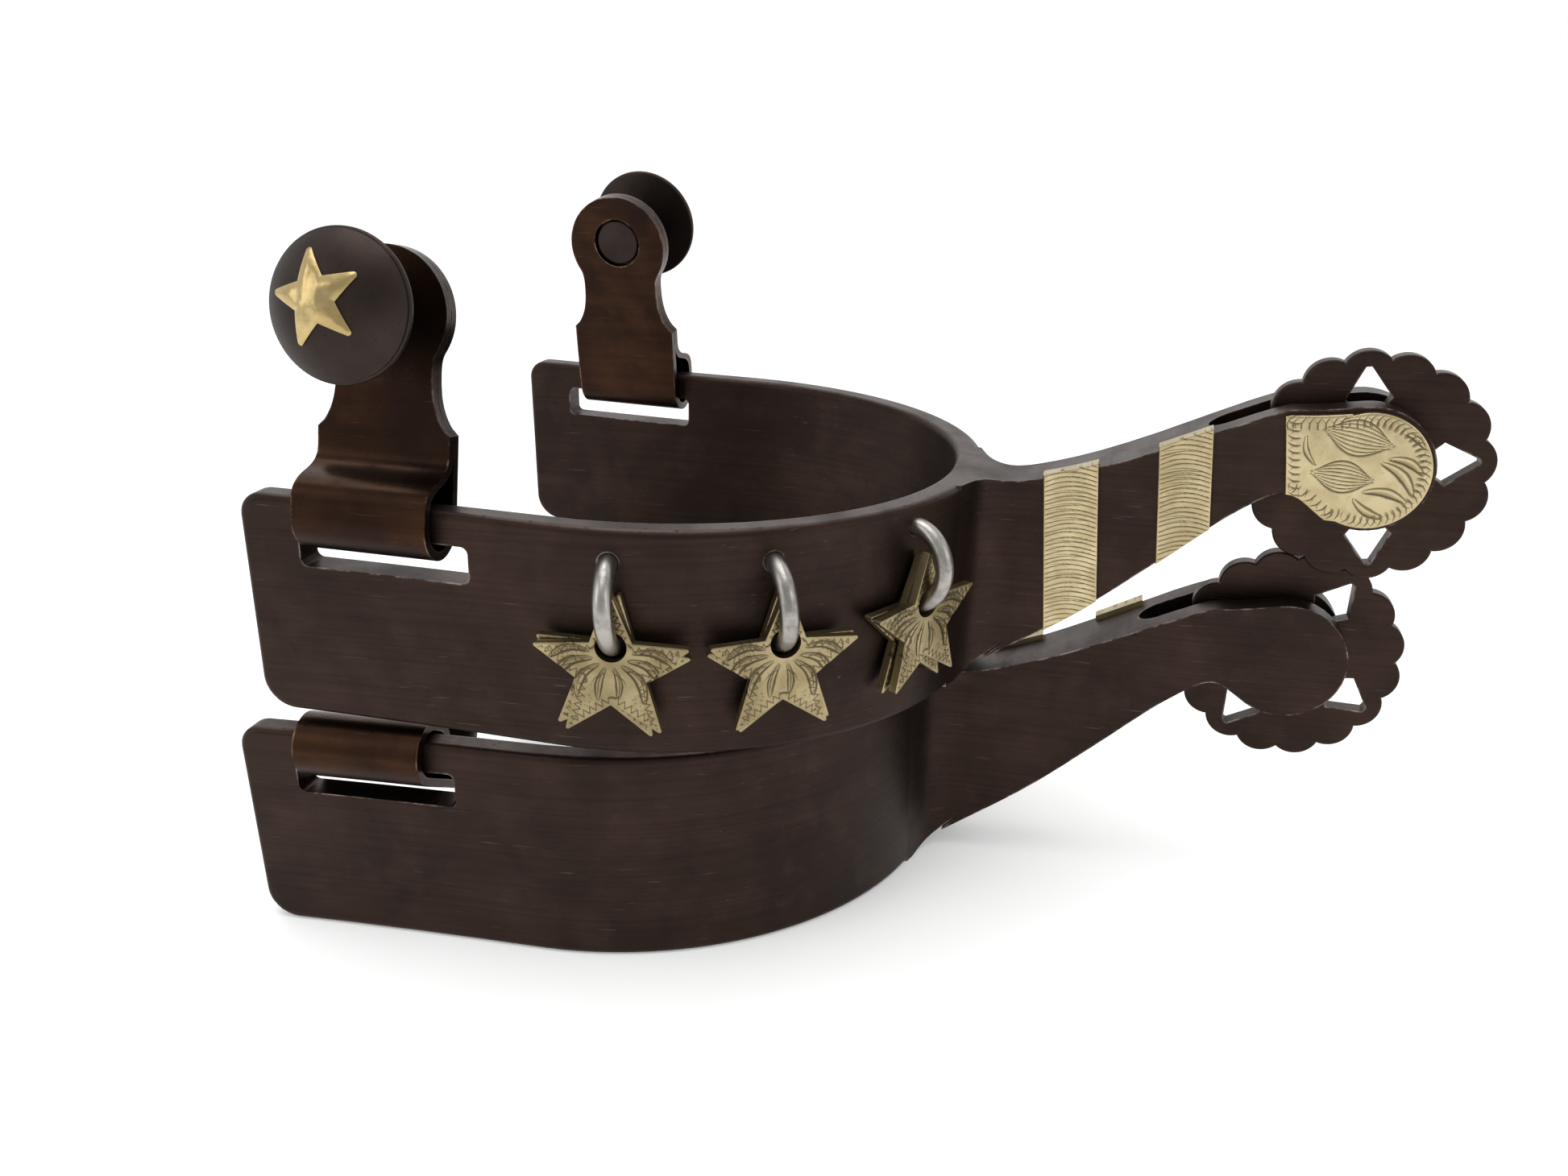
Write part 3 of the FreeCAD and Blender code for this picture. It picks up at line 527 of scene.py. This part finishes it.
def engraved_star(layer):
    """Hanging star: wriggled border, stippled arms and leaves that spray from the hole."""
    star = Plate("left_star_2_" + layer, star_place("left", 2, layer))
    star.score((0.1 if layer == "front" else 0.2) * FINE)
    dice = np.random.default_rng(7)
    star.zigzag(0.35, 0.85, 0.95, 0.28, 0.06)
    for arm in range(5):
        for _ in range(STIPPLE_DOTS):
            out = dice.uniform(4.4, 8.6)
            half = (9.8 - out) * 0.16
            x, z = turned(dice.uniform(-half, half), out, 72 * arm)
            star.dots([(x, z - STAR_HOLE_UP)], 0.26, 0.05)
    # Leaves: direction from the hole, length, bow, width
    for angle, length, bow, width in (
            (-168, 5.2, -0.9, 1.0), (-146, 6.2, -1.2, 1.25), (-124, 5.4, -0.9, 1.15),
            (-104, 4.6, -0.4, 0.95), (-84, 4.2, 0.4, 0.9), (-62, 5.8, 1.0, 1.2),
            (-40, 5.2, 1.1, 1.2), (-16, 5.4, 0.9, 1.05)):
        start = turned(2.7, 0, angle)
        end = turned(2.7 + length, 0, angle)
        star.cut(bend(start, end, bow), width * 1.15, 0.18, lead=0.6, tail=0.4, leaf=True)
        star.cut(bend(start, end, bow * 1.1), 0.26, 0.07)
        for aside in (7, 13):
            tip = turned(2.2 + length * 0.8, 0, angle + math.copysign(aside, bow))
            star.cut(bend(turned(3.6, 0, angle), tip, bow * 0.9), 0.2, 0.06)
    star.soften(0.16, 0.07)
    return star.finish()


def engraved_strip(which):
    """Shank strip: shallow wriggle arcs that sweep in from both sides by turns."""
    strip = Plate("left_shank_strip_" + which, SPUR_PLACE["left"])
    strip.score(0.08 * FINE)
    xs, zs = strip.spots.T
    levels = np.quantile(zs, (0.4, 0.7))
    rows = [xs[np.abs(zs - level) < 0.15] for level in levels]
    left_side = np.polyfit(levels, [row.min() for row in rows], 1)
    right_side = np.polyfit(levels, [row.max() for row in rows], 1)
    dice = np.random.default_rng(3 if which == "front" else 5)
    for k in range(-3, int((zs.max() - zs.min()) / STRIP_CUT_PITCH) + 4):
        z = zs.min() + k * STRIP_CUT_PITCH
        left, right = np.polyval(left_side, z) + 0.12, np.polyval(right_side, z) - 0.12
        shake, reach = dice.uniform(-0.12, 0.12, 3), dice.uniform(0.3, 1.2, 2)
        strip.cut(bend((left, z + shake[0]), (right - reach[0], z + 1.15 + shake[1]), 0.6 + shake[2]),
                  0.2, 0.06, lead=0.06, tail=0.94)
        strip.cut(bend((right, z + 0.95 + shake[1]), (left + reach[1], z + 0.7 + shake[0]), -0.5 + shake[2]),
                  0.2, 0.06, lead=0.06, tail=0.94)
    strip.soften(0.2, 0.09)
    return strip.finish()


def engraved_cap():
    """Rowel cap: a fringed border round two shaded leaves and a spray of blades."""
    cap = Plate("left_rowel_cap", SPUR_PLACE["left"])
    cap.score(0.1 * FINE)
    cap.fringe(FRINGE_PITCH, 0.2, 1.8, 0.55, -0.28, 0.36, 0.09)
    cap.fringe(FRINGE_PITCH, 0.5, 1.8, -0.35, 0.2, 0.2, 0.05)
    # Shaded leaves: middle, tilt, length, height
    for x, z, tilt, length, height in ((50.0, 40.6, -10, 9.4, 4.6), (48.8, 35.4, -3, 8.4, 4.2)):
        for share in np.linspace(-1, 1, LEAF_LINES):
            reach = length / 2 * (1 - 0.2 * share ** 2)
            ends = [turned(side * reach, share * height * 0.08, tilt) for side in (-1, 1)]
            outer = abs(share) == 1
            cap.cut(bend(*[(x + e[0], z + e[1]) for e in ends], share * height * 0.42, 13),
                    0.34 if outer else 0.2, 0.10 if outer else 0.07, lead=0.3, tail=0.3)
    # Blades: root, tip, bow, width
    for root, tip, bow, width in (
            ((54.0, 38.2), (58.4, 36.4), 0.7, 1.3), ((53.2, 37.6), (57.6, 33.6), 0.8, 1.5),
            ((51.6, 33.6), (57.0, 32.6), 0.7, 1.4), ((50.6, 32.6), (54.6, 30.4), -0.5, 1.3),
            ((55.2, 41.6), (58.0, 39.8), 0.4, 0.9), ((43.8, 40.4), (45.4, 36.6), -0.6, 0.8)):
        cap.cut(bend(root, tip, bow), width, 0.15, lead=0.55, tail=0.45, leaf=True)
        cap.cut(bend(root, tip, bow * 0.4), 0.2, 0.06)
    cap.soften(0.3, 0.12)
    return cap.finish()


def button_star():
    """Plain star on a button, pillowed and a little dented."""
    star = Plate("left_outer_button_star", hanger_place("left", "outer"))
    star.score(0.25 * FINE)
    x, z = star.spots.T
    dents = np.clip(0.12 * np.sin(x * 1.7 + 0.6) * np.cos(z * 1.4 - 0.4), 0, 1)
    star.round = 0.38 * np.clip(1 - star.inset / 1.5, 0, 1) ** 2 + dents * np.clip(star.inset, 0, 1)
    return star.finish()


def hanger_place(side, which):
    """Frame of a hanger and its button: the middle of the fold is its X axis."""
    out = -1 if which == "outer" else 1
    bar = Vector((BAR_X, out * BAR_Y, BAR_Z)) * MM
    play = Vector((-out * HANGER_SLIDE[side][which], 0, -HANGER_DROP[side][which])) * MM
    turn = math.radians(90 + out * (90 - ARM_ANGLE))
    lean = math.radians(-HANGER_LEAN[side][which])
    return (SPUR_PLACE[side] @ Matrix.Translation(bar) @ Matrix.Rotation(turn, 4, "Z")
            @ Matrix.Translation(play) @ Matrix.Rotation(lean, 4, "X"))


ENGRAVED = {
    "front": engraved_star("front"),
    "back": engraved_star("back"),
    "strip_front": engraved_strip("front"),
    "strip_rear": engraved_strip("rear"),
    "cap": engraved_cap(),
    "button": button_star(),
}

for side in ("left", "right"):
    for layer in ("back", "front"):
        for number in (1, 2, 3):
            node = f"{side}_star_{number}_{layer}"
            ENGRAVED[layer].piece(f"{node}_engraved", star_place(side, number, layer), node,
                                  "engraved_nickel_silver", FINISHES["engraved_nickel_silver"])
    for which in ("front", "rear"):
        node = f"{side}_shank_strip_{which}"
        ENGRAVED["strip_" + which].piece(f"{node}_engraved", SPUR_PLACE[side], node,
                                         "engraved_overlay_silver", FINISHES["engraved_overlay_silver"])
    node = f"{side}_rowel_cap"
    ENGRAVED["cap"].piece(f"{node}_engraved", SPUR_PLACE[side], node,
                          "engraved_overlay_silver", FINISHES["engraved_overlay_silver"])
    for which in ("outer", "inner"):
        node = f"{side}_{which}_button_star"
        ENGRAVED["button"].piece(f"{node}_pillowed", hanger_place(side, which), node,
                                 "polished_brass_silver", FINISHES["polished_brass_silver"])


# ---- stage, light and camera ---------------------------------------------------------

def floor():
    """A wide, plain pale floor under the lower band."""
    bm = bmesh.new()
    bmesh.ops.create_grid(bm, x_segments=1, y_segments=1, size=12)
    mesh = bpy.data.meshes.new("floor")
    bm.to_mesh(mesh)
    bm.free()
    mesh.transform(Matrix.Translation((0, 0, CAD_BOX[0].z - 0.00005)))
    pale = Finish("pale_floor", metallic=0.0, fixed={
        "Roughness": 0.75, "Emission Color": (1, 1, 1, 1), "Emission Strength": 0.22})
    pale.feed("Base Color", pale.blend(pale.grain(6, detail=3), (0.93, 0.93, 0.93), (0.96, 0.96, 0.955)))
    mesh.materials.append(pale.material)
    piece = bpy.data.objects.new("floor", mesh)
    bpy.context.scene.collection.objects.link(piece)


def soft_box(name, place, aim, size, power):
    light = bpy.data.lights.new(name, "AREA")
    light.shape = "RECTANGLE"
    light.size, light.size_y = size
    light.energy = power
    lamp = bpy.data.objects.new(name, light)
    lamp.location = place
    lamp.rotation_euler = (Vector(aim) - Vector(place)).to_track_quat("-Z", "Y").to_euler()
    bpy.context.scene.collection.objects.link(lamp)


def studio():
    """White all round, a little darker from the viewer's side, so that metal has shape."""
    world = bpy.data.worlds.new("studio")
    bpy.context.scene.world = world
    world.use_nodes = True
    sky = Nodes(world.node_tree)
    way = sky.node("ShaderNodeTexCoord").outputs["Generated"]
    depth = sky.node("ShaderNodeSeparateXYZ", {}, {0: way}).outputs["Y"]
    shade = sky.node("ShaderNodeMapRange", {}, {
        "Value": depth, "From Min": -1.0, "From Max": 0.35, "To Min": 0.55, "To Max": 1.0})
    seen = sky.node("ShaderNodeLightPath").outputs["Is Camera Ray"]
    light = sky.node("ShaderNodeMath", {"operation": "MAXIMUM"}, {0: shade.outputs["Result"], 1: seen})
    sky.fill(world.node_tree.nodes["Background"], {}, {
        "Color": (1.0, 1.0, 1.0, 1.0), "Strength": light.outputs[0]})
    soft_box("top_box", (-0.05, -0.05, 0.62), (0, 0, 0.03), (0.55, 0.4), 1.6)
    soft_box("left_box", (-0.55, -0.45, 0.38), (-0.02, 0, 0.04), (0.3, 0.5), 0.8)
    soft_box("right_box", (0.60, -0.25, 0.30), (0.03, 0, 0.04), (0.25, 0.4), 0.4)


def viewpoint():
    """Wide view from the front right, looking down on the pair."""
    lens = bpy.data.cameras.new("viewpoint")
    lens.sensor_width = 36.0
    lens.lens = 31.82
    lens.clip_start, lens.clip_end = 0.005, 50
    camera = bpy.data.objects.new("viewpoint", lens)
    camera.location = Vector((27.11, -193.85, 113.11)) * MM
    camera.rotation_euler = [math.radians(a) for a in (69.640, 0.392, 13.797)]
    bpy.context.scene.collection.objects.link(camera)
    bpy.context.scene.camera = camera


floor()
studio()
viewpoint()
bpy.context.scene.view_settings.view_transform = "Standard"
